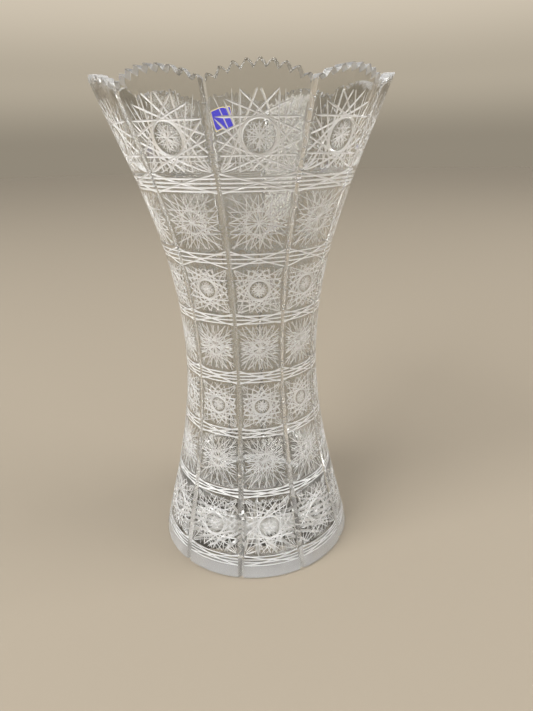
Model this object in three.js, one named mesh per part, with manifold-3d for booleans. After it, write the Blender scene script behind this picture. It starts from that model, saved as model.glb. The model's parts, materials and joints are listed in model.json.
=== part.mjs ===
// A hand-cut lead-crystal vase, waisted like a trumpet, with a scalloped sawtooth rim.
// Millimetres, +Z up. The origin is the centre of the foot, on the surface it stands on.
// Ten panels go round the wall, with the first panel's centre facing -Y.

import * as THREE from 'three';
import { mergeVertices } from 'three/addons/utils/BufferGeometryUtils.js';
import Module from 'manifold-3d';

const wasm = await Module();
wasm.setup();

// ---------------------------------------------------------------- driving dimensions

const height = 305;            // to the tips of the middle teeth of each scallop
const footRadius = 68.8;
const footLean = 0.17;         // how fast the wall leans in above the foot, mm per mm
const footRun = 20.6;          // height over which the foot's lean is held
const waistRadius = 44.7;
const waistHeight = 137;
const waistDrop = 55;          // straight pull of the wall below the waist
const waistRise = 69;          // straight pull of the wall above the waist
const rimRadius = 86.3;
const rimLean = 0.38;          // how fast the wall leans out at the rim, mm per mm
const rimRun = 58;             // height over which the rim's lean is held

const wallAtRim = 6;
const wallAtWaist = 8;
const wallAtBowl = 9.5;
const floorHeight = 34;        // top of the thick solid base
const floorRadius = 22;        // flat part of the inner floor
const bowlHeight = 38;         // height of the rounded corner between floor and wall

const footChamfer = 0.8;
const recessRadius = 46;       // the underside is hollowed so that only a ring touches
const recessDepth = 1.5;

const panelCount = 10;
const segmentsPerPanel = 6;

const scallopRise = 7;         // from the valley between two scallops to the crown
const teethPerScallop = 9;
const toothDepth = 2.8;
const toothFlat = 1.2;         // flat left on the tip of each tooth

const fluteHalfAngle = 45;     // degrees, of the mitre wheel that cuts the flutes
const fluteDepthAtRim = 1.8;
const fluteDepthAtWaist = 1.25;
const fluteDepthAtFoot = 2.6;

const ringHeights = [11.5, 57.6, 98.7, 135.4, 172.8, 210, 250];
const ringDepth = 1.1;         // mitre rings that part one tier of stars from the next
const ringWidth = 2.6;

const labelWidth = 17;         // the maker's foil sticker, stuck inside the rim at the back
const labelHeight = 15;
const labelThickness = 0.4;
const labelCorner = 1.5;
const labelTurn = 186.2;       // degrees round from -Y to the label's middle
const labelTilt = 15;          // degrees, stuck on by hand and not quite level
const labelDrop = 17.8;        // from the crown of a scallop down to the label's middle

const clearance = 0.3;         // between pieces that touch
const cutterMargin = 6;        // how far every cutter runs past the glass

// ---------------------------------------------------------------- outlines

const panelAngle = 2 * Math.PI / panelCount;
const segmentCount = panelCount * segmentsPerPanel;
const curveSamples = 64;

const labelMiddle = height - labelDrop;
const labelReach = Math.hypot(labelWidth, labelHeight) / 2;

const lowerWall = new THREE.CubicBezierCurve(
  new THREE.Vector2(footRadius, 0),
  new THREE.Vector2(footRadius - footLean * footRun, footRun),
  new THREE.Vector2(waistRadius, waistHeight - waistDrop),
  new THREE.Vector2(waistRadius, waistHeight),
);

const upperWall = new THREE.CubicBezierCurve(
  new THREE.Vector2(waistRadius, waistHeight),
  new THREE.Vector2(waistRadius, waistHeight + waistRise),
  new THREE.Vector2(rimRadius - rimLean * rimRun, height - rimRun),
  new THREE.Vector2(rimRadius, height),
);

const wallPoints = [
  ...lowerWall.getPoints(curveSamples),
  ...upperWall.getPoints(curveSamples).slice(1),
];

// Radius of the uncut outer wall at height z, carried on straight past both ends.
function outerRadius(z) {
  if (z <= 0) return footRadius - footLean * z;
  if (z >= height) return rimRadius + rimLean * (z - height);
  const next = wallPoints.findIndex((point) => point.y >= z);
  const below = wallPoints[Math.max(next - 1, 0)];
  const above = wallPoints[Math.max(next, 1)];
  const share = (z - below.y) / (above.y - below.y);
  return THREE.MathUtils.lerp(below.x, above.x, share);
}

// A value that is set at the foot, the waist and the rim, and blends evenly between them.
function blendAlongWall(z, atFoot, atWaist, atRim) {
  if (z < waistHeight) return THREE.MathUtils.lerp(atFoot, atWaist, Math.max(z, 0) / waistHeight);
  const share = (z - waistHeight) / (height - waistHeight);
  return THREE.MathUtils.lerp(atWaist, atRim, share);
}

function innerRadius(z) {
  return outerRadius(z) - blendAlongWall(z, wallAtBowl, wallAtWaist, wallAtRim);
}

// Heights from one value to another, evenly spaced, without the first one.
function stepsUp(from, to, count) {
  return Array.from({ length: count }, (_, step) => from + (to - from) * (step + 1) / count);
}

// Outer wall from the foot to just above the crown, with a mitre ring under each tier.
function outerOutline() {
  const points = [new THREE.Vector2(outerRadius(footChamfer), footChamfer)];
  const halfRing = ringWidth / 2;
  for (const ring of ringHeights) {
    const from = points.at(-1).y;
    const tierSteps = Math.max(1, Math.round((ring - from) / 24));
    for (const z of stepsUp(from, ring - halfRing, tierSteps)) {
      points.push(new THREE.Vector2(outerRadius(z), z));
    }
    points.push(new THREE.Vector2(outerRadius(ring) - ringDepth, ring));
    points.push(new THREE.Vector2(outerRadius(ring + halfRing), ring + halfRing));
  }
  for (const z of stepsUp(points.at(-1).y, height + cutterMargin, 4)) {
    points.push(new THREE.Vector2(outerRadius(z), z));
  }
  return points;
}

// Inner wall from above the crown down to the middle of the floor. The wall runs straight
// behind the label, so the label lies along it.
function innerOutline() {
  const bowlTop = floorHeight + bowlHeight;
  const bowlLean = innerRadius(bowlTop) - innerRadius(bowlTop + 1);
  const wall = [
    ...stepsUp(bowlTop, labelMiddle - labelReach, 8),
    labelMiddle + labelReach,
    height + cutterMargin,
  ].reverse();
  const bowl = new THREE.CubicBezierCurve(
    new THREE.Vector2(innerRadius(bowlTop), bowlTop),
    new THREE.Vector2(innerRadius(bowlTop) + bowlLean * bowlHeight / 2, bowlTop - bowlHeight / 2),
    new THREE.Vector2((floorRadius + innerRadius(bowlTop)) / 2, floorHeight),
    new THREE.Vector2(floorRadius, floorHeight),
  );
  return [
    ...wall.map((z) => new THREE.Vector2(innerRadius(z), z)),
    ...bowl.getPoints(5),
    new THREE.Vector2(0, floorHeight),
  ];
}

function undersideOutline() {
  return [
    new THREE.Vector2(0, recessDepth),
    new THREE.Vector2(recessRadius - recessDepth, recessDepth),
    new THREE.Vector2(recessRadius, 0),
    new THREE.Vector2(footRadius - footChamfer, 0),
  ];
}

// ---------------------------------------------------------------- solids

// Closed three.js geometry to a manifold solid: shared vertices merged, slivers dropped.
function toSolid(geometry) {
  const bare = geometry.clone();
  bare.deleteAttribute('normal');
  bare.deleteAttribute('uv');
  const merged = mergeVertices(bare, 1e-4);
  const triVerts = [];
  for (let i = 0; i < merged.index.count; i += 3) {
    const [a, b, c] = [merged.index.getX(i), merged.index.getX(i + 1), merged.index.getX(i + 2)];
    if (a !== b && b !== c && c !== a) triVerts.push(a, b, c);
  }
  return new wasm.Manifold(new wasm.Mesh({
    numProp: 3,
    vertProperties: new Float32Array(merged.attributes.position.array),
    triVerts: new Uint32Array(triVerts),
  }));
}

function toGeometry(solid) {
  const mesh = solid.getMesh();
  const geometry = new THREE.BufferGeometry();
  geometry.setAttribute('position', new THREE.BufferAttribute(new Float32Array(mesh.vertProperties), 3));
  geometry.setIndex(new THREE.BufferAttribute(new Uint32Array(mesh.triVerts), 1));
  geometry.computeVertexNormals();
  return geometry;
}

function glassBlank() {
  const outline = [...undersideOutline(), ...outerOutline(), ...innerOutline()];
  const blank = new THREE.LatheGeometry(outline, segmentCount);
  blank.rotateX(Math.PI / 2);
  return toSolid(blank);
}

// Height of the smooth scallop line, an arc of a circle, at an angle from the panel's centre.
function scallopLine(angle) {
  const halfWidth = rimRadius * panelAngle / 2;
  const arcRadius = (halfWidth ** 2 + scallopRise ** 2) / (2 * scallopRise);
  const across = rimRadius * Math.min(Math.abs(angle), panelAngle / 2);
  return height - arcRadius + Math.sqrt(arcRadius ** 2 - across ** 2);
}

// Everything above one panel's toothed scallop. It is drawn flat, angle against height, and
// then bent round the axis, so each notch runs straight out through the rim.
function scallopCutter() {
  const toothPitch = panelAngle / teethPerScallop;
  const halfFlat = toothFlat / 2 / rimRadius;
  const overlap = halfFlat / 2;
  const left = -panelAngle / 2;
  const ceiling = height + 2 * cutterMargin;
  const outline = new THREE.Shape();
  outline.moveTo(left - overlap, ceiling);
  outline.lineTo(left - overlap, scallopLine(left) - toothDepth / 2);
  for (let tooth = 0; tooth < teethPerScallop; tooth += 1) {
    const start = left + tooth * toothPitch;
    const middle = start + toothPitch / 2;
    const notchDepth = tooth === 0 ? toothDepth / 2 : toothDepth;
    if (tooth > 0) outline.lineTo(start, scallopLine(start) - notchDepth);
    outline.lineTo(middle - halfFlat, scallopLine(middle));
    outline.lineTo(middle + halfFlat, scallopLine(middle));
  }
  outline.lineTo(-left + overlap, scallopLine(left) - toothDepth / 2);
  outline.lineTo(-left + overlap, ceiling);
  outline.closePath();

  const inside = innerRadius(height - scallopRise) - 2 * cutterMargin;
  const outside = outerRadius(ceiling) + cutterMargin;
  const cutter = new THREE.ExtrudeGeometry(outline, { depth: outside - inside, bevelEnabled: false });
  const corners = cutter.attributes.position;
  for (let i = 0; i < corners.count; i += 1) {
    const angle = corners.getX(i);
    const radius = inside + corners.getZ(i);
    corners.setXYZ(i, radius * Math.sin(angle), -radius * Math.cos(angle), corners.getY(i));
  }
  return toSolid(cutter);
}

// A mitre wheel's V drawn up the wall, deeper at the foot and the rim than at the waist.
function fluteCutter() {
  const reach = cutterMargin;
  const spread = reach * Math.tan(THREE.MathUtils.degToRad(fluteHalfAngle));
  const section = new THREE.Shape([
    new THREE.Vector2(0, 0),
    new THREE.Vector2(spread, reach),
    new THREE.Vector2(-spread, reach),
  ]);
  const heights = [-cutterMargin, ...stepsUp(-cutterMargin, height + cutterMargin, 12)];
  const root = new THREE.CatmullRomCurve3(heights.map((z) => {
    const depth = blendAlongWall(z, fluteDepthAtFoot, fluteDepthAtWaist, fluteDepthAtRim);
    return new THREE.Vector3(0, -(outerRadius(z) - depth), z);
  }));
  const cutter = new THREE.ExtrudeGeometry(section, { steps: 13, extrudePath: root });
  cutter.rotateZ(panelAngle / 2);
  return toSolid(cutter);
}

function crystalBody() {
  const turn = THREE.MathUtils.radToDeg(panelAngle);
  const scallop = scallopCutter();
  const flute = fluteCutter();
  let glass = glassBlank();
  for (let panel = 0; panel < panelCount; panel += 1) {
    glass = glass.subtract(scallop.rotate([0, 0, panel * turn]));
    glass = glass.subtract(flute.rotate([0, 0, panel * turn]));
  }
  const material = new THREE.MeshStandardMaterial({
    color: 0xe9edee, roughness: 0.03, metalness: 0, transparent: true, opacity: 0.4,
  });
  const mesh = new THREE.Mesh(toGeometry(glass), material);
  mesh.name = 'crystal_body';
  return mesh;
}

function roundedRectangle(width, tall, corner) {
  const [x, y] = [width / 2 - corner, tall / 2 - corner];
  const outline = new THREE.Shape();
  outline.absarc(x, y, corner, 0, Math.PI / 2);
  outline.absarc(-x, y, corner, Math.PI / 2, Math.PI);
  outline.absarc(-x, -y, corner, Math.PI, 3 * Math.PI / 2);
  outline.absarc(x, -y, corner, 3 * Math.PI / 2, 2 * Math.PI);
  outline.closePath();
  return outline;
}

// A film that follows the wall's curve, cut to a rounded rectangle. Both are made upright
// round the film's middle, with +Y towards the glass, and then leaned back with the wall.
function foilLabel() {
  const below = innerRadius(labelMiddle - labelReach);
  const above = innerRadius(labelMiddle + labelReach);
  const lean = Math.atan((above - below) / (2 * labelReach));
  const facetRadius = (below + above) / 2 * Math.cos(Math.PI / segmentCount);
  const backRadius = facetRadius / Math.cos(lean) - clearance;
  const frontRadius = backRadius - labelThickness;
  const upright = Math.PI / 2;
  const halfTurn = 1.2 * labelReach / backRadius;

  const plan = new THREE.Shape();
  plan.absarc(0, 0, backRadius, upright - halfTurn, upright + halfTurn, false);
  plan.absarc(0, 0, frontRadius, upright + halfTurn, upright - halfTurn, true);
  plan.closePath();
  const film = new THREE.ExtrudeGeometry(plan, {
    depth: 2 * labelReach, bevelEnabled: false, curveSegments: 10,
  });
  film.translate(0, -backRadius, -labelReach);

  const outline = roundedRectangle(labelWidth, labelHeight, labelCorner);
  const stamp = new THREE.ExtrudeGeometry(outline, {
    depth: 2 * cutterMargin, bevelEnabled: false, curveSegments: 4,
  });
  stamp.rotateZ(THREE.MathUtils.degToRad(labelTilt));
  stamp.rotateX(Math.PI / 2);
  stamp.translate(0, cutterMargin, 0);

  const label = toGeometry(toSolid(film).intersect(toSolid(stamp)));
  label.rotateX(-lean);
  const material = new THREE.MeshStandardMaterial({ color: 0x3b35c4, roughness: 0.35, metalness: 0.2 });
  const mesh = new THREE.Mesh(label, material);
  mesh.name = 'foil_label';
  mesh.position.set(0, facetRadius - clearance / Math.cos(lean), labelMiddle);

  const turned = new THREE.Group();
  turned.rotation.z = THREE.MathUtils.degToRad(labelTurn) - Math.PI;
  turned.add(mesh);
  return turned;
}

const group = new THREE.Group();
group.add(crystalBody());
group.add(foilLabel());

export default group;
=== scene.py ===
"""A hand-cut lead-crystal vase on a pale floor: the cut glass body and its foil sticker.

The wall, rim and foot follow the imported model. The stars and bands are V-shaped grooves cut
into a few one-tenth wedges of the glass, which are joined round the axis. The flutes, the
toothed scallops and the star under the foot are then cut into the whole.
"""

import bisect
import json
import math
import random

import bmesh
import bpy
from mathutils import Matrix, Vector

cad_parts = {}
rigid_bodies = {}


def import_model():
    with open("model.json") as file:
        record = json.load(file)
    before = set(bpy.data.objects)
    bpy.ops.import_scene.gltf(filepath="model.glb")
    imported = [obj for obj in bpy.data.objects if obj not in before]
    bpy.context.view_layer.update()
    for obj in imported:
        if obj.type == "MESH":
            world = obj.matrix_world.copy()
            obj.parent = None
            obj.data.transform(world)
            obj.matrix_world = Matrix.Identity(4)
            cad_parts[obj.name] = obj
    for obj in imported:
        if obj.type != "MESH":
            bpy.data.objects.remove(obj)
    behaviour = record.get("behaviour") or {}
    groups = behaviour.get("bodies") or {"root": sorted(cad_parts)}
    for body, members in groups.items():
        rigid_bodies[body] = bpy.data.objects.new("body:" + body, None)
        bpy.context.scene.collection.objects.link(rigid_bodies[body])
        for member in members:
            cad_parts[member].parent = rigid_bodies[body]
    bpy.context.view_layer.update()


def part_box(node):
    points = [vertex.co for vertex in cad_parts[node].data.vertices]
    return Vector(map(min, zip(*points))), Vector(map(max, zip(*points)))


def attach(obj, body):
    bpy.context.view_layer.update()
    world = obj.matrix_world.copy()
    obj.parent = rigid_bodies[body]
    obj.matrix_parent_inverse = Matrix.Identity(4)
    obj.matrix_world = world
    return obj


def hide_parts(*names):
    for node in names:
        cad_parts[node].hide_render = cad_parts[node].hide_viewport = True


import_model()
glass_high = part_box("crystal_body")[1]

MM = 0.001

# ------------------------------------------------------------------ sizes of the glass

HEIGHT = glass_high.z
RIM_RADIUS = glass_high.y
RIM_LEAN = 0.38              # radius gained per unit of height at the rim
RIM_RUN = 58 * MM            # the runs, the drop and the rise set how slowly the wall bends
FOOT_RADIUS = 68.8 * MM
FOOT_LEAN = 0.17             # radius lost per unit of height at the foot
FOOT_RUN = 20.6 * MM
WAIST_RADIUS = 44.7 * MM
WAIST_HEIGHT = 137 * MM
WAIST_DROP = 55 * MM
WAIST_RISE = 69 * MM

WALL_AT_RIM = 6 * MM
WALL_AT_WAIST = 8 * MM
WALL_AT_BOWL = 9.5 * MM
FLOOR_HEIGHT = 34 * MM       # top of the thick solid base
FLOOR_RADIUS = 22 * MM
BOWL_HEIGHT = 38 * MM        # height of the curve between the floor and the wall
BOWL_STEPS = 12
FOOT_CHAMFER = 0.8 * MM
RECESS_RADIUS = 46 * MM
RECESS_DEPTH = 1.5 * MM

FOOT_BAND = 8 * MM           # the wall below this height has a softer polish
TWIST_AT_FOOT = math.radians(1.3)
TWIST_AT_RIM = math.radians(-1.4)   # the flutes lean a little round the glass

PANELS = 10
PANEL_VARIANTS = 5           # wedges cut by hand a little differently, each used twice
PANEL_ANGLE = 2 * math.pi / PANELS
COLUMNS = 6                  # facets across one panel of the uncut wall
ROWS = 40                    # facets up the uncut wall
SHARP_ANGLE = math.radians(14)

SAME_POINT = 0.0001 * MM     # corners of a wedge nearer than this are one
SEAM = 0.001 * MM            # corners of two wedges nearer than this are joined
SEAM_PLANE = 0.002 * MM      # how near to the seam every corner of a seam's face lies
SEAM_COSINE = 0.9999         # how nearly such a face is square to the way round

# ------------------------------------------------------------------ sizes of the cuts

MARGIN = 6 * MM              # how far a cutter runs past the glass
CUTTER_LIFT = 1.5 * MM       # how far a groove's cutter stands out of the glass
TIP_DEPTH = 0.02 * MM        # depth of a groove where it runs out

SCALLOP_RISE = 7 * MM
TEETH = 9
TOOTH_DEPTH = 2.8 * MM
TOOTH_FLAT = 1.2 * MM

FLUTE_AT_RIM = 1.8 * MM
FLUTE_AT_WAIST = 1.25 * MM
FLUTE_AT_FOOT = 2.6 * MM
FLUTE_LIFT = 3 * MM
FLUTE_ROWS = 40

UNDERSIDE_LINES = 12
UNDERSIDE_DEPTH = 1.4 * MM
UNDERSIDE_REACH = 43 * MM
UNDERSIDE_SHARES = (-1, -0.8, 0, 0.8, 1)   # along a line, which runs out at both ends

SIDE_GAP = 0.5 * MM          # plain glass between the lines of a tier and a flute
TAPER = 3.5 * MM             # length over which a line runs out
RAY_TAPER = 2.5 * MM
CLIPPED_TAPER = 0.8 * MM     # the same, where a line is stopped by a band or a flute
TAPER_SHARE = 0.9            # most of a short line that its two tapers take up
SHORTEST_LINE = 1.5 * MM
LINE_STEP = 6 * MM           # longest straight piece of a groove
CLIP_STEP = 0.7 * MM         # spacing of the points that find where a line is stopped
CLIP_POINTS = 8              # fewest of them on a line
ACROSS_TIER = 40 * MM        # half the length of a line that runs right across a tier

RANDOM_SEED = 7
TURN_ERROR = math.radians(1.1)
PLACE_ERROR = 0.25 * MM      # how far a hand-held line strays

STAR_POINTS = 16
STAR_SKIP = 6                # each line of a star joins points this many apart
STAR_DEPTH = 0.42 * MM
TOP_STAR_DEPTH = 0.6 * MM
ALL_LINES = 1.1              # above every sine, so that all lines of a star have a fine one
UPPER_LINES_OUT = 0.2        # leaves the lines above the middle of the top star without one
FINE_OFFSET = 3.1 * MM       # from a star's line to the fine one beside it
FINE_REACH = 1.25            # in reaches of the star
FINE_DEPTH = 0.5             # in depths of the star
RING_RADIUS = 0.97           # of the groove round a star's hub, in rings of the star
RING_DEPTH = 1.15            # in depths of the star
RING_STEPS = 28

HUB_LINES = 8
HUB_SETS = [
    # half turns the lines fill, offset and reach in rings of the star, depth in its depths,
    # taper in its rings
    (1, 0, 0.86, 0.65, 0.3),     # lines through the middle
    (2, 0.36, 0.8, 0.45, 0.2),   # lines round the middle
]

FAN_LENGTH = 1.3             # in rings of the star it stands beside
FAN_DEPTH = 0.7              # in depths of that star
FAN_SPREAD = math.radians(17)
LOWER_FAN_RAYS = 4
UPPER_FAN_RAYS = 3

RAYS = 12
RAY_DEPTH = 0.28 * MM
FINE_RAY_DEPTH = 0.55        # in depths of a ray
FINE_RAY_START = 3.5 * MM
FINE_RAY_END = 13 * MM
WEB_DIRECTIONS = 8
WEB_DEPTH = 0.26 * MM

BAND_DEPTH = 0.4 * MM
TOP_BAND_DEPTH = 0.62 * MM
BAND_WIDTH = 0.985           # share of a panel's width that a band crosses
BAND_COLUMNS = 6

TOP_PART = 240               # height in millimetres above which the cuts are deeper and plainer
TIERS = [
    # lowest, middle and highest of each tier, what is cut there, and its ring or offset,
    # in millimetres
    (16.8, 35.0, 54.4, "hobstar", 7.5),
    (61.2, 79.5, 94.8, "web", 4.6),
    (102.4, 116.6, 131.6, "hobstar", 5.4),
    (141.0, 155.5, 170.4, "web", 4.2),
    (178.2, 192.7, 205.4, "hobstar", 6.0),
    (216.2, 231.5, 246.8, "web", 6.5),
    (257.2, 273.6, 294.0, "hobstar", 9.0),
]
BANDS = [
    # heights of the level mitres, then the lowest and highest of the crossing pair,
    # in millimetres
    ((9.3, 11.4, 13.3, 15.3), 8.8, 16.4),
    ((56.0, 58.0, 60.0), 54.8, 61.2),
    ((96.2, 98.6, 101.0), 95.0, 102.2),
    ((133.0, 135.2, 137.2, 139.2), 131.8, 140.8),
    ((171.8, 174.2, 176.6), 170.6, 178.0),
    ((209.0, 211.4, 214.0), 205.6, 216.0),
    ((248.2, 250.2, 252.3, 254.5), 247.0, 257.0),
]

# ------------------------------------------------------------------ sizes of the label

LABEL_WIDTH = 17 * MM
LABEL_HEIGHT = 15 * MM
LABEL_CORNER = 1.5 * MM
SMALLEST_CORNER = 0.2 * MM
LABEL_THICKNESS = 0.4 * MM
LABEL_GAP = 0.3 * MM
LABEL_BORDER = 0.6 * MM
LABEL_INSETS = (5 * MM, 2.5 * MM)   # rings inside the edge that let the film bend
LABEL_TURN = math.radians(186.2)
LABEL_TILT = math.radians(15)
LABEL_MIDDLE = HEIGHT - 17.8 * MM

# ------------------------------------------------------------------ looks

WALL, CUT, FLUTE, GROUND, FINE_CUT = 0, 1, 2, 3, 4   # the material of each kind of surface
GLASS_IOR = 1.55
GLASSES = [
    # name, roughness, transmission and colour, in the order of the numbers above
    ("lead_crystal", 0.0, 1.0, (0.77, 0.77, 0.755)),        # the polished wall and base
    ("cut_crystal", 0.08, 0.64, (1, 1, 0.99)),              # top stars, bands, underside
    ("fluted_crystal", 0.03, 0.9, (0.92, 0.91, 0.88)),      # flutes between the panels
    ("ground_crystal", 0.15, 0.8, (0.72, 0.72, 0.72)),      # scalloped edge, foot band
    ("fine_cut_crystal", 0.07, 0.69, (0.97, 0.97, 0.96)),   # lines of the other tiers
]
BLUE, GOLD = 0, 1
LABEL_LOOKS = [
    # name, colour and roughness, in the order of the numbers above
    ("label_blue", (0.015, 0.008, 0.45), 0.25),             # the plain face and the back
    ("label_gold", (0.80, 0.68, 0.30), 0.3),                # the border
]
FLOOR_LOOK = ("pale_floor", (0.285, 0.242, 0.186), 0.7)
STAGE_RADIUS = 6
STAGE_SIDES = 96
STAGE_DROP = 0.0003          # how far the floor lies under the foot

BACK_STOPS = [
    # sine of the height above the horizon, colour
    (0.0, (0.285, 0.25, 0.195)),
    (0.10, (0.45, 0.395, 0.31)),
    (0.22, (0.63, 0.555, 0.445)),
    (0.36, (0.035, 0.033, 0.03)),
    (0.68, (0.035, 0.033, 0.03)),
    (0.86, (1.4, 1.4, 1.38)),
]
FRONT_STOPS = [
    # sine of the height above the horizon, colour
    (0.0, (0.36, 0.315, 0.255)),
    (0.16, (0.28, 0.25, 0.21)),
    (0.34, (1.2, 1.2, 1.18)),
    (0.80, (1.2, 1.2, 1.18)),
    (1.0, (1.5, 1.5, 1.48)),
]
BACKWARD = (0.1, 1, 0)       # away from the bright front half of the studio
BACK_ENDS = 0.15             # distance that way where the back half starts to fade out
FRONT_STARTS = -0.35         # and where only the front half is left

LIGHT_TARGET = (0, 0, 0.15)
LIGHTS = [
    # name, place, width and height, power, colour
    ("left_window", (-2.1, -1.2, 1.9), (2.2, 1.8), 120, (0.98, 0.99, 1)),
    ("right_window", (2.3, -0.5, 1.6), (1.8, 1.5), 46, (1, 1, 1)),
]
LIGHT_BOUNCES = 32
GLOSSY_BOUNCES = 12

CAMERA_DISTANCE = 346.35 * MM
CAMERA_HEIGHT = 270 * MM
CAMERA_ORBIT = math.radians(-6.8)
CAMERA_YAW = math.radians(1.73)
CAMERA_PITCH = math.radians(21.57)
CAMERA_ROLL = math.radians(-1.28)
CAMERA_LENS = 27.07
CAMERA_SENSOR = 36
CAMERA_NEAREST = 0.01


# ------------------------------------------------------------------ the wall's outline

def bezier(a, b, c, d, t):
    s = 1 - t
    return s * s * s * a + 3 * s * s * t * b + 3 * s * t * t * c + t * t * t * d


def wall_outline(samples=80):
    """Heights and radii of the uncut outer wall, from the foot up to the rim."""
    lower = (
        Vector((FOOT_RADIUS, 0)),
        Vector((FOOT_RADIUS - FOOT_LEAN * FOOT_RUN, FOOT_RUN)),
        Vector((WAIST_RADIUS, WAIST_HEIGHT - WAIST_DROP)),
        Vector((WAIST_RADIUS, WAIST_HEIGHT)),
    )
    upper = (
        Vector((WAIST_RADIUS, WAIST_HEIGHT)),
        Vector((WAIST_RADIUS, WAIST_HEIGHT + WAIST_RISE)),
        Vector((RIM_RADIUS - RIM_LEAN * RIM_RUN, HEIGHT - RIM_RUN)),
        Vector((RIM_RADIUS, HEIGHT)),
    )
    points = [bezier(*lower, i / samples) for i in range(samples)]
    points += [bezier(*upper, i / samples) for i in range(samples + 1)]
    return [p.y for p in points], [p.x for p in points]


WALL_HEIGHTS, WALL_RADII = wall_outline()


def outer_radius(z):
    if z <= 0:
        return FOOT_RADIUS - FOOT_LEAN * z
    if z >= HEIGHT:
        return RIM_RADIUS + RIM_LEAN * (z - HEIGHT)
    i = min(bisect.bisect_right(WALL_HEIGHTS, z), len(WALL_HEIGHTS) - 1)
    z0, z1 = WALL_HEIGHTS[i - 1], WALL_HEIGHTS[i]
    r0, r1 = WALL_RADII[i - 1], WALL_RADII[i]
    return r0 + (r1 - r0) * (z - z0) / (z1 - z0)


def wall_lean(z, step=2 * MM):
    """Angle of the wall from upright, positive where it leans out as it goes up."""
    return math.atan2(outer_radius(z + step) - outer_radius(z - step), 2 * step)


def blend_along_wall(z, at_foot, at_waist, at_rim):
    if z < WAIST_HEIGHT:
        share = max(z, 0) / WAIST_HEIGHT
        return at_foot + (at_waist - at_foot) * share
    share = (z - WAIST_HEIGHT) / (HEIGHT - WAIST_HEIGHT)
    return at_waist + (at_rim - at_waist) * share


def flute_depth(z):
    return blend_along_wall(z, FLUTE_AT_FOOT, FLUTE_AT_WAIST, FLUTE_AT_RIM)


def inner_radius(z):
    return outer_radius(z) - blend_along_wall(z, WALL_AT_BOWL, WALL_AT_WAIST, WALL_AT_RIM)


def polar(angle, radius, z):
    """A point at an angle from the panel's middle, which faces -Y."""
    return Vector((radius * math.sin(angle), -radius * math.cos(angle), z))


def wall_normal(angle, z):
    lean = wall_lean(z)
    return polar(angle, math.cos(lean), -math.sin(lean))


# ------------------------------------------------------------------ meshes

def new_object(name, verts, faces, collection, material_index=0):
    mesh = bpy.data.meshes.new(name)
    mesh.from_pydata([tuple(v) for v in verts], [], faces)
    mesh.polygons.foreach_set("material_index", [material_index] * len(mesh.polygons))
    mesh.update()
    made = bpy.data.objects.new(name, mesh)
    collection.objects.link(made)
    return made


def swept(rings, closed=False):
    """Points and faces of a closed solid through rings of equally many points."""
    size = len(rings[0])
    verts = [point for ring in rings for point in ring]
    faces = []
    count = len(rings)
    for i in range(count if closed else count - 1):
        a, b = i * size, (i + 1) % count * size
        for j in range(size):
            k = (j + 1) % size
            faces.append((a + j, a + k, b + k, b + j))
    if not closed:
        faces.append(tuple(reversed(range(size))))
        faces.append(tuple(range((count - 1) * size, count * size)))
    return verts, faces


def face_outwards(mesh):
    """Turns every face of a closed mesh to point out of it."""
    shape = bmesh.new()
    shape.from_mesh(mesh)
    bmesh.ops.recalc_face_normals(shape, faces=shape.faces)
    shape.to_mesh(mesh)
    shape.free()


def drop_doubles(mesh):
    """Joins corners that share a place, such as those on the axis, and drops empty faces."""
    shape = bmesh.new()
    shape.from_mesh(mesh)
    bmesh.ops.remove_doubles(shape, verts=shape.verts, dist=SAME_POINT)
    bmesh.ops.dissolve_degenerate(shape, edges=shape.edges, dist=SAME_POINT)
    shape.to_mesh(mesh)
    shape.free()


# ------------------------------------------------------------------ the uncut glass

def blank_outline():
    """Half section of the uncut glass, anticlockwise from the middle of the underside."""
    top = HEIGHT + MARGIN
    outline = [(0, RECESS_DEPTH), (RECESS_RADIUS - RECESS_DEPTH, RECESS_DEPTH), (RECESS_RADIUS, 0)]
    outline.append((FOOT_RADIUS - FOOT_CHAMFER, 0))
    for i in range(ROWS + 1):
        z = FOOT_CHAMFER + (top - FOOT_CHAMFER) * i / ROWS
        outline.append((outer_radius(z), z))
    bowl_top = FLOOR_HEIGHT + BOWL_HEIGHT
    for i in range(ROWS // 2 + 1):
        z = top + (bowl_top - top) * i / (ROWS // 2)
        outline.append((inner_radius(z), z))
    lean = inner_radius(bowl_top) - inner_radius(bowl_top + MM)
    curve = (
        Vector((inner_radius(bowl_top), bowl_top)),
        Vector((inner_radius(bowl_top) + lean / MM * BOWL_HEIGHT / 2, bowl_top - BOWL_HEIGHT / 2)),
        Vector(((FLOOR_RADIUS + inner_radius(bowl_top)) / 2, FLOOR_HEIGHT)),
        Vector((FLOOR_RADIUS, FLOOR_HEIGHT)),
    )
    outline += [tuple(bezier(*curve, i / BOWL_STEPS)) for i in range(1, BOWL_STEPS + 1)]
    outline.append((0, FLOOR_HEIGHT))
    return outline


def blank_panel(collection):
    """One tenth of the uncut glass, a closed wedge."""
    outline = blank_outline()
    rings = []
    for i in range(COLUMNS + 1):
        angle = -PANEL_ANGLE / 2 + PANEL_ANGLE * i / COLUMNS
        rings.append([polar(angle, r, z) for r, z in outline])
    verts, faces = swept(rings)
    wedge = new_object("wedge", verts, faces, collection, WALL)
    drop_doubles(wedge.data)
    face_outwards(wedge.data)
    return wedge


# ------------------------------------------------------------------ cutters

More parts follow.
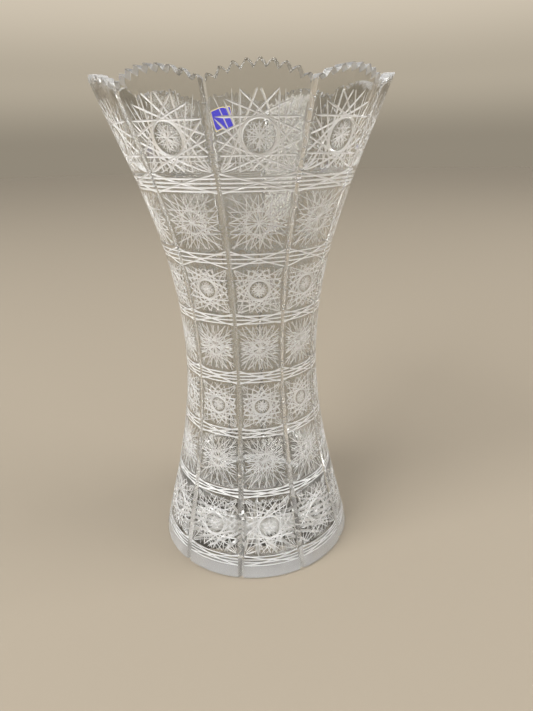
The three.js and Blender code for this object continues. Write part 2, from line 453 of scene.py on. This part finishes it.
def mitre(path, depths, collection, lift=CUTTER_LIFT, closed=False, material_index=CUT):
    """A V-shaped groove along (angle, height) points on the wall, as wide as it is deep
    on each side."""
    points = [polar(angle, outer_radius(z), z) for angle, z in path]
    count = len(points)
    rings = []
    for i, (angle, z) in enumerate(path):
        ahead = points[(i + 1) % count] if closed else points[min(i + 1, count - 1)]
        behind = points[i - 1] if closed else points[max(i - 1, 0)]
        out = wall_normal(angle, z)
        side = (ahead - behind).cross(out).normalized()
        depth = depths[i]
        rings.append([
            points[i] - out * depth,
            points[i] + out * lift + side * (depth + lift),
            points[i] + out * lift - side * (depth + lift),
        ])
    verts, faces = swept(rings, closed)
    new_object("cut", verts, faces, collection, material_index)


def tier_point(middle, across, up):
    """Angle and height of a point given in metres across and up the wall from a tier's middle."""
    z = middle + up * math.cos(wall_lean(middle))
    return across / outer_radius(z), z


def point_between(start, end, t):
    return start[0] + (end[0] - start[0]) * t, start[1] + (end[1] - start[1]) * t


class Tier:
    """The part of a panel between two bands, as a window that clips straight grooves."""

    def __init__(self, low, middle, high, surface, collection, chance):
        self.low = low
        self.middle = middle
        self.high = high
        self.surface = surface
        self.collection = collection
        self.chance = chance

    def holds(self, point):
        angle, z = tier_point(self.middle, *point)
        side = PANEL_ANGLE / 2 - (flute_depth(z) + SIDE_GAP) / outer_radius(z)
        return self.low < z < self.high and abs(angle) < side

    def line(self, start, end, depth, taper=TAPER):
        """A groove between two points, kept inside the window. It tapers at its own ends and
        stops short where the window cuts it."""
        length = math.dist(start, end)
        samples = max(CLIP_POINTS, round(length / CLIP_STEP))
        shares = [i / samples for i in range(samples + 1)]
        inside = [t for t in shares if self.holds(point_between(start, end, t))]
        if len(inside) < 3:
            return
        first, last = inside[0], inside[-1]
        taper_first = taper if first == 0 else CLIPPED_TAPER
        taper_last = taper if last == 1 else CLIPPED_TAPER
        cut_length = (last - first) * length
        if cut_length < SHORTEST_LINE:
            return
        scale = min(1, TAPER_SHARE * cut_length / (taper_first + taper_last))
        taper_first *= scale
        taper_last *= scale
        middle_length = cut_length - taper_first - taper_last
        steps = max(1, round(middle_length / LINE_STEP))
        runs = [0, taper_first]
        runs += [taper_first + middle_length * (i + 1) / steps for i in range(steps)]
        runs.append(cut_length)
        points = [point_between(start, end, first + run / length) for run in runs]
        path = [tier_point(self.middle, *point) for point in points]
        depths = [TIP_DEPTH] + [depth] * (len(runs) - 2) + [TIP_DEPTH]
        mitre(path, depths, self.collection, material_index=self.surface)

    def chord(self, turn, offset, reach, depth, taper=TAPER):
        """A groove square to a direction, at an offset from the tier's middle."""
        turn += self.chance.gauss(0, TURN_ERROR)
        offset += self.chance.gauss(0, PLACE_ERROR)
        half = math.sqrt(max(reach * reach - offset * offset, 0))
        out = (math.cos(turn) * offset, math.sin(turn) * offset)
        along = (-math.sin(turn) * half, math.cos(turn) * half)
        start = (out[0] - along[0], out[1] - along[1])
        end = (out[0] + along[0], out[1] + along[1])
        self.line(start, end, depth, taper)

    def ray(self, turn, inner, outer, depth):
        """A groove pointing away from the tier's middle."""
        turn += self.chance.gauss(0, TURN_ERROR)
        direction = (math.cos(turn), math.sin(turn))
        start = (direction[0] * inner, direction[1] * inner)
        end = (direction[0] * outer, direction[1] * outer)
        self.line(start, end, depth, RAY_TAPER)

    def ring(self, radius, depth):
        """A groove all round the tier's middle."""
        path = []
        for i in range(RING_STEPS):
            turn = 2 * math.pi * i / RING_STEPS
            path.append(tier_point(self.middle, radius * math.cos(turn), radius * math.sin(turn)))
        depths = [depth] * RING_STEPS
        mitre(path, depths, self.collection, closed=True, material_index=self.surface)


def hobstar(tier, ring, depth, fine_below):
    """A many-pointed star whose lines all touch a ring round a rayed hub. Finer lines run
    beside those that face lower than fine_below, which is a sine."""
    reach = ring / math.cos(math.pi * STAR_SKIP / STAR_POINTS)
    for i in range(STAR_POINTS):
        turn = 2 * math.pi * i / STAR_POINTS
        tier.chord(turn, ring, reach, depth)
        if math.sin(turn) < fine_below:
            tier.chord(turn, ring + FINE_OFFSET, reach * FINE_REACH, depth * FINE_DEPTH)
    tier.ring(ring * RING_RADIUS, depth * RING_DEPTH)
    for i in range(HUB_LINES):
        for half_turns, offset, hub_reach, hub_depth, taper in HUB_SETS:
            turn = math.pi * i / HUB_LINES * half_turns
            tier.chord(turn, ring * offset, ring * hub_reach, depth * hub_depth, ring * taper)


def corner_fan(tier, upward, length, depth, rays):
    """Short grooves spreading out of two corners of a tier towards its middle."""
    height = tier.high if upward else tier.low
    up = (height - tier.middle) / math.cos(wall_lean(tier.middle))
    across = outer_radius(height) * PANEL_ANGLE / 2 - flute_depth(height)
    facing = math.atan2(-up, -across)
    for side in (-1, 1):
        for i in range(rays):
            turn = facing + FAN_SPREAD * (i - (rays - 1) / 2)
            tip = (across + length * math.cos(turn), up + length * math.sin(turn))
            tier.line((side * across, up), (side * tip[0], tip[1]), depth)


def rayed_star(tier):
    """Straight grooves that all cross at the tier's middle, with finer ones between them."""
    for i in range(RAYS):
        turn = math.pi * i / RAYS
        tier.chord(turn, 0, ACROSS_TIER, RAY_DEPTH)
        fine = turn + math.pi / RAYS / 2
        for facing in (fine, fine + math.pi):
            tier.ray(facing, FINE_RAY_START, FINE_RAY_END, RAY_DEPTH * FINE_RAY_DEPTH)


def web(tier, offset):
    """Long fine lines in pairs either side of the middle, running right across the tier."""
    for i in range(WEB_DIRECTIONS):
        turn = math.pi * i / WEB_DIRECTIONS
        for side in (-1, 1):
            tier.chord(turn, side * offset, ACROSS_TIER, WEB_DEPTH)


def band(levels, low, high, depth, collection):
    """Level mitres right across the panel, under two long crossing ones."""
    edge = PANEL_ANGLE / 2 * BAND_WIDTH
    angles = [-edge + 2 * edge * i / BAND_COLUMNS for i in range(BAND_COLUMNS + 1)]
    depths = [depth] * len(angles)
    for z in levels:
        mitre([(a, z) for a in angles], depths, collection)
    middle, half_height = (low + high) / 2, (high - low) / 2
    for sign in (-1, 1):
        mitre([(a, middle + sign * half_height * a / edge) for a in angles], depths, collection)


def scallop_line(angle):
    """Height of the smooth scallop above an angle from the panel's middle."""
    half = RIM_RADIUS * PANEL_ANGLE / 2
    arc = (half * half + SCALLOP_RISE * SCALLOP_RISE) / (2 * SCALLOP_RISE)
    across = RIM_RADIUS * min(abs(angle), PANEL_ANGLE / 2)
    return HEIGHT - arc + math.sqrt(arc * arc - across * across)


def scallop_cutter(turn, collection):
    """Everything above a panel's toothed scallop."""
    pitch = PANEL_ANGLE / TEETH
    flat = TOOTH_FLAT / 2 / RIM_RADIUS
    edge = PANEL_ANGLE / 2
    end_height = scallop_line(edge) - TOOTH_DEPTH / 2
    outline = [(-edge - flat / 2, end_height)]
    for tooth in range(TEETH):
        start = -edge + tooth * pitch
        middle = start + pitch / 2
        if tooth:
            outline.append((start, scallop_line(start) - TOOTH_DEPTH))
        outline.append((middle - flat, scallop_line(middle)))
        outline.append((middle + flat, scallop_line(middle)))
    outline.append((edge + flat / 2, end_height))
    outline.append((edge + flat / 2, HEIGHT + 2 * MARGIN))
    outline.append((-edge - flat / 2, HEIGHT + 2 * MARGIN))
    inside = inner_radius(HEIGHT - SCALLOP_RISE) - 2 * MARGIN
    outside = RIM_RADIUS + 3 * MARGIN
    rings = [[polar(turn + a, r, z) for a, z in outline] for r in (inside, outside)]
    verts, faces = swept(rings)
    new_object("scallop", verts, faces, collection, GROUND)


def flute_cutter(turn, collection):
    """The upright mitre that parts two panels, deeper at foot and rim than at the waist."""
    heights = [-MARGIN + (HEIGHT + 2 * MARGIN) * i / FLUTE_ROWS for i in range(FLUTE_ROWS + 1)]
    path = [(turn, z) for z in heights]
    depths = [flute_depth(z) for z in heights]
    mitre(path, depths, collection, lift=FLUTE_LIFT, material_index=FLUTE)


def underside_star(collection):
    """Mitres across the underside, a star seen through the floor of the vase."""
    for i in range(UNDERSIDE_LINES):
        turn = math.pi * (i + 0.5) / UNDERSIDE_LINES
        along = Vector((math.cos(turn), math.sin(turn), 0))
        side = Vector((-math.sin(turn), math.cos(turn), 0))
        rings = []
        for share in UNDERSIDE_SHARES:
            depth = UNDERSIDE_DEPTH if abs(share) < 1 else TIP_DEPTH
            here = along * share * UNDERSIDE_REACH + Vector((0, 0, RECESS_DEPTH))
            rings.append([
                here + Vector((0, 0, depth)),
                here + Vector((0, 0, -CUTTER_LIFT)) + side * (depth + CUTTER_LIFT),
                here + Vector((0, 0, -CUTTER_LIFT)) - side * (depth + CUTTER_LIFT),
            ])
        verts, faces = swept(rings)
        new_object("cut", verts, faces, collection, CUT)


# ------------------------------------------------------------------ the cut glass

def new_cuts():
    cuts = bpy.data.collections.new("cuts")
    bpy.context.scene.collection.children.link(cuts)
    return cuts


def subtract(solid, cuts):
    """The mesh of a solid less everything in the cuts collection. Both are removed."""
    for made in cuts.objects:
        face_outwards(made.data)
    cutting = solid.modifiers.new("cuts", "BOOLEAN")
    cutting.operation = "DIFFERENCE"
    cutting.operand_type = "COLLECTION"
    cutting.collection = cuts
    cutting.solver = "MANIFOLD"
    depsgraph = bpy.context.evaluated_depsgraph_get()
    result = bpy.data.meshes.new_from_object(solid.evaluated_get(depsgraph))
    for made in list(cuts.objects):
        mesh = made.data
        bpy.data.objects.remove(made)
        bpy.data.meshes.remove(mesh)
    bpy.data.collections.remove(cuts)
    bpy.data.objects.remove(solid)
    return result


def cut_panel(wedge, chance):
    """The mesh of a wedge with all its tiers and bands cut."""
    cuts = new_cuts()
    for low, middle, high, kind, size in TIERS:
        top = low > TOP_PART
        surface = CUT if top else FINE_CUT
        tier = Tier(low * MM, middle * MM, high * MM, surface, cuts, chance)
        if kind == "web":
            rayed_star(tier)
            web(tier, size * MM)
            continue
        depth = TOP_STAR_DEPTH if top else STAR_DEPTH
        hobstar(tier, size * MM, depth, UPPER_LINES_OUT if top else ALL_LINES)
        fan_length = size * FAN_LENGTH * MM
        corner_fan(tier, False, fan_length, depth * FAN_DEPTH, LOWER_FAN_RAYS)
        if not top:
            corner_fan(tier, True, fan_length, depth * FAN_DEPTH, UPPER_FAN_RAYS)
    for levels, low, high in BANDS:
        depth = TOP_BAND_DEPTH if low > TOP_PART else BAND_DEPTH
        band([z * MM for z in levels], low * MM, high * MM, depth, cuts)
    return subtract(wedge, cuts)


def on_seam(face, seams):
    """Whether a face lies flat in one of the planes where the panels meet."""
    for seam in seams:
        if abs(face.normal.dot(seam)) > SEAM_COSINE:
            if all(abs(vert.co.dot(seam)) < SEAM_PLANE for vert in face.verts):
                return True
    return False


def join_panels(panels, materials):
    """The panels side by side round the axis, without the flat faces where they meet."""
    whole = bmesh.new()
    for i, panel in enumerate(panels):
        part = panel.copy()
        part.transform(Matrix.Rotation(PANEL_ANGLE * i, 4, "Z"))
        whole.from_mesh(part)
        bpy.data.meshes.remove(part)
    turns = [PANEL_ANGLE * (i + 0.5) for i in range(PANELS)]
    seams = [Vector((math.cos(t), math.sin(t), 0)) for t in turns]
    sides = [face for face in whole.faces if on_seam(face, seams)]
    shared = {vert for face in sides for vert in face.verts}
    bmesh.ops.delete(whole, geom=sides, context="FACES")
    shared = [vert for vert in shared if vert.is_valid]
    bmesh.ops.remove_doubles(whole, verts=shared, dist=SEAM)
    mesh = bpy.data.meshes.new("crystal_panels")
    for material in materials:
        mesh.materials.append(material)
    whole.to_mesh(mesh)
    whole.free()
    return mesh


def crystal_body(collection, materials):
    """The whole cut vase, one closed mesh with a material for each kind of surface."""
    chance = random.Random(RANDOM_SEED)
    panels = []
    for i in range(PANEL_VARIANTS):
        wedge = blank_panel(collection)
        for material in materials:
            wedge.data.materials.append(material)
        panels.append(cut_panel(wedge, chance))
    joined = join_panels([panels[i % PANEL_VARIANTS] for i in range(PANELS)], materials)
    body = bpy.data.objects.new("cut_glass_body", joined)
    collection.objects.link(body)
    cuts = new_cuts()
    for i in range(PANELS):
        flute_cutter(PANEL_ANGLE * (i + 0.5), cuts)
        scallop_cutter(PANEL_ANGLE * i, cuts)
    underside_star(cuts)
    mesh = subtract(body, cuts)
    for vertex in mesh.vertices:
        share = vertex.co.z / HEIGHT
        turn = TWIST_AT_FOOT + (TWIST_AT_RIM - TWIST_AT_FOOT) * share
        vertex.co.rotate(Matrix.Rotation(turn, 3, "Z"))
    for face in mesh.polygons:
        outside = math.hypot(face.center.x, face.center.y) > RECESS_RADIUS
        if outside and face.center.z < FOOT_BAND and face.material_index == WALL:
            face.material_index = GROUND
    mesh.shade_smooth()
    mesh.set_sharp_from_angle(angle=SHARP_ANGLE)
    body = bpy.data.objects.new("cut_glass_body", mesh)
    collection.objects.link(body)
    return body


# ------------------------------------------------------------------ label

def label_outline(inset, corner_steps=5, edge_steps=10):
    """The label's rounded rectangle, drawn in by an inset, from its right corner round."""
    corner = max(LABEL_CORNER - inset, SMALLEST_CORNER)
    half_width = LABEL_WIDTH / 2 - inset - corner
    half_height = LABEL_HEIGHT / 2 - inset - corner
    points = []
    for quarter, (right, up) in enumerate(((1, 1), (-1, 1), (-1, -1), (1, -1))):
        for i in range(corner_steps + 1):
            turn = math.pi / 2 * (quarter + i / corner_steps)
            across = right * half_width + corner * math.cos(turn)
            points.append((across, up * half_height + corner * math.sin(turn)))
        if quarter in (0, 2):
            for i in range(1, edge_steps):
                across = right * half_width * (1 - 2 * i / edge_steps)
                points.append((across, up * (half_height + corner)))
    return points


def label_point(across, up, gap):
    """A point of the tilted label, at a gap from the inner wall behind it."""
    x = across * math.cos(LABEL_TILT) + up * math.sin(LABEL_TILT)
    y = up * math.cos(LABEL_TILT) - across * math.sin(LABEL_TILT)
    z = LABEL_MIDDLE + y * math.cos(wall_lean(LABEL_MIDDLE))
    return polar(LABEL_TURN + x / inner_radius(z), inner_radius(z) - gap, z)


def foil_label(collection, materials):
    """A curved film, blue with a thin gold border, plain because its print is left out."""
    back, front = LABEL_GAP, LABEL_GAP + LABEL_THICKNESS
    steps = [(inset, back) for inset in LABEL_INSETS]
    steps += [(0, back), (0, front), (LABEL_BORDER, front)]
    steps += [(inset, front) for inset in reversed(LABEL_INSETS)]
    rings = [[label_point(x, y, gap) for x, y in label_outline(inset)] for inset, gap in steps]
    verts, faces = swept(rings)
    label = new_object("foil_sticker", verts, faces, collection, BLUE)
    size = len(rings[0])
    gold_first = steps.index((0, back)) * size
    gold_end = steps.index((LABEL_BORDER, front)) * size
    for face in label.data.polygons[gold_first:gold_end]:
        face.material_index = GOLD
    face_outwards(label.data)
    for material in materials:
        label.data.materials.append(material)
    return label


# ------------------------------------------------------------------ materials

def plain_material(name, colour, roughness):
    material = bpy.data.materials.new(name)
    material.use_nodes = True
    shader = material.node_tree.nodes["Principled BSDF"]
    shader.inputs["Base Color"].default_value = (*colour, 1)
    shader.inputs["Roughness"].default_value = roughness
    return material


def glass_material(name, roughness, transmission, colour):
    material = plain_material(name, colour, roughness)
    shader = material.node_tree.nodes["Principled BSDF"]
    shader.inputs["IOR"].default_value = GLASS_IOR
    shader.inputs["Transmission Weight"].default_value = transmission
    return material


# ------------------------------------------------------------------ camera, floor and light

def add_camera():
    yaw, pitch, roll = CAMERA_YAW, CAMERA_PITCH, CAMERA_ROLL
    data = bpy.data.cameras.new("camera")
    data.lens = CAMERA_LENS
    data.sensor_width = CAMERA_SENSOR
    data.clip_start = CAMERA_NEAREST
    camera = bpy.data.objects.new("camera", data)
    bpy.context.scene.collection.objects.link(camera)
    level = math.cos(pitch)
    forward = Vector((math.sin(yaw) * level, math.cos(yaw) * level, -math.sin(pitch)))
    right = Vector((math.cos(yaw), -math.sin(yaw), 0))
    up = right.cross(forward)
    right_rolled = right * math.cos(roll) + up * math.sin(roll)
    up_rolled = up * math.cos(roll) - right * math.sin(roll)
    basis = Matrix((right_rolled, up_rolled, -forward)).transposed().to_4x4()
    place = Matrix.Translation((0, -CAMERA_DISTANCE, CAMERA_HEIGHT)) @ basis
    camera.matrix_world = Matrix.Rotation(CAMERA_ORBIT, 4, "Z") @ place
    bpy.context.scene.camera = camera


def area_light(name, place, size, power, colour):
    """A big soft light that isn't mirrored in the glass."""
    data = bpy.data.lights.new(name, "AREA")
    data.shape = "RECTANGLE"
    data.size, data.size_y = size
    data.energy = power
    data.color = colour
    light = bpy.data.objects.new(name, data)
    bpy.context.scene.collection.objects.link(light)
    light.location = place
    light.visible_glossy = False
    aim = Vector(LIGHT_TARGET) - Vector(place)
    light.rotation_euler = aim.to_track_quat("-Z", "Y").to_euler()


def add_floor(collection):
    turns = [2 * math.pi * i / STAGE_SIDES for i in range(STAGE_SIDES)]
    edge = [(STAGE_RADIUS * math.cos(t), STAGE_RADIUS * math.sin(t), -STAGE_DROP) for t in turns]
    floor = new_object("floor", edge, [tuple(range(STAGE_SIDES))], collection)
    floor.data.materials.append(plain_material(*FLOOR_LOOK))


def colour_ramp(nodes, stops):
    ramp = nodes.new("ShaderNodeValToRGB")
    ramp.color_ramp.interpolation = "EASE"
    elements = ramp.color_ramp.elements
    elements[0].position, elements[0].color = stops[0][0], (*stops[0][1], 1)
    elements[1].position, elements[1].color = stops[-1][0], (*stops[-1][1], 1)
    for position, colour in stops[1:-1]:
        elements.new(position).color = (*colour, 1)
    return ramp


def set_world():
    """A plain studio: a pale wall all round, dark above it at the back and a big soft light
    above it at the front."""
    world = bpy.data.worlds.new("studio")
    bpy.context.scene.world = world
    world.use_nodes = True
    nodes, links = world.node_tree.nodes, world.node_tree.links
    where = nodes.new("ShaderNodeTexCoord")
    split = nodes.new("ShaderNodeSeparateXYZ")
    back = colour_ramp(nodes, BACK_STOPS)
    front = colour_ramp(nodes, FRONT_STOPS)
    facing = nodes.new("ShaderNodeMapRange")
    facing.interpolation_type = "SMOOTHSTEP"
    facing.inputs["From Min"].default_value = BACK_ENDS
    facing.inputs["From Max"].default_value = FRONT_STARTS
    backward = nodes.new("ShaderNodeVectorMath")
    backward.operation = "DOT_PRODUCT"
    backward.inputs[1].default_value = BACKWARD
    mix = nodes.new("ShaderNodeMix")
    mix.data_type = "RGBA"
    links.new(where.outputs["Generated"], backward.inputs[0])
    links.new(where.outputs["Generated"], split.inputs["Vector"])
    links.new(split.outputs["Z"], back.inputs["Fac"])
    links.new(split.outputs["Z"], front.inputs["Fac"])
    links.new(backward.outputs["Value"], facing.inputs["Value"])
    links.new(facing.outputs["Result"], mix.inputs["Factor"])
    links.new(back.outputs["Color"], mix.inputs["A"])
    links.new(front.outputs["Color"], mix.inputs["B"])
    links.new(mix.outputs["Result"], nodes["Background"].inputs["Color"])


# ------------------------------------------------------------------ the scene

scene = bpy.context.scene
add_camera()
set_world()
add_floor(scene.collection)
for light_look in LIGHTS:
    area_light(*light_look)

scene.cycles.max_bounces = LIGHT_BOUNCES
scene.cycles.transmission_bounces = LIGHT_BOUNCES
scene.cycles.glossy_bounces = GLOSSY_BOUNCES
scene.cycles.caustics_reflective = True
scene.cycles.caustics_refractive = True
scene.view_settings.view_transform = "Standard"

glasses = [glass_material(*look) for look in GLASSES]
body = crystal_body(scene.collection, glasses)
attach(body, "root")
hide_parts("crystal_body")

foils = [plain_material(*look) for look in LABEL_LOOKS]
label = foil_label(scene.collection, foils)
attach(label, "root")
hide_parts("foil_label")

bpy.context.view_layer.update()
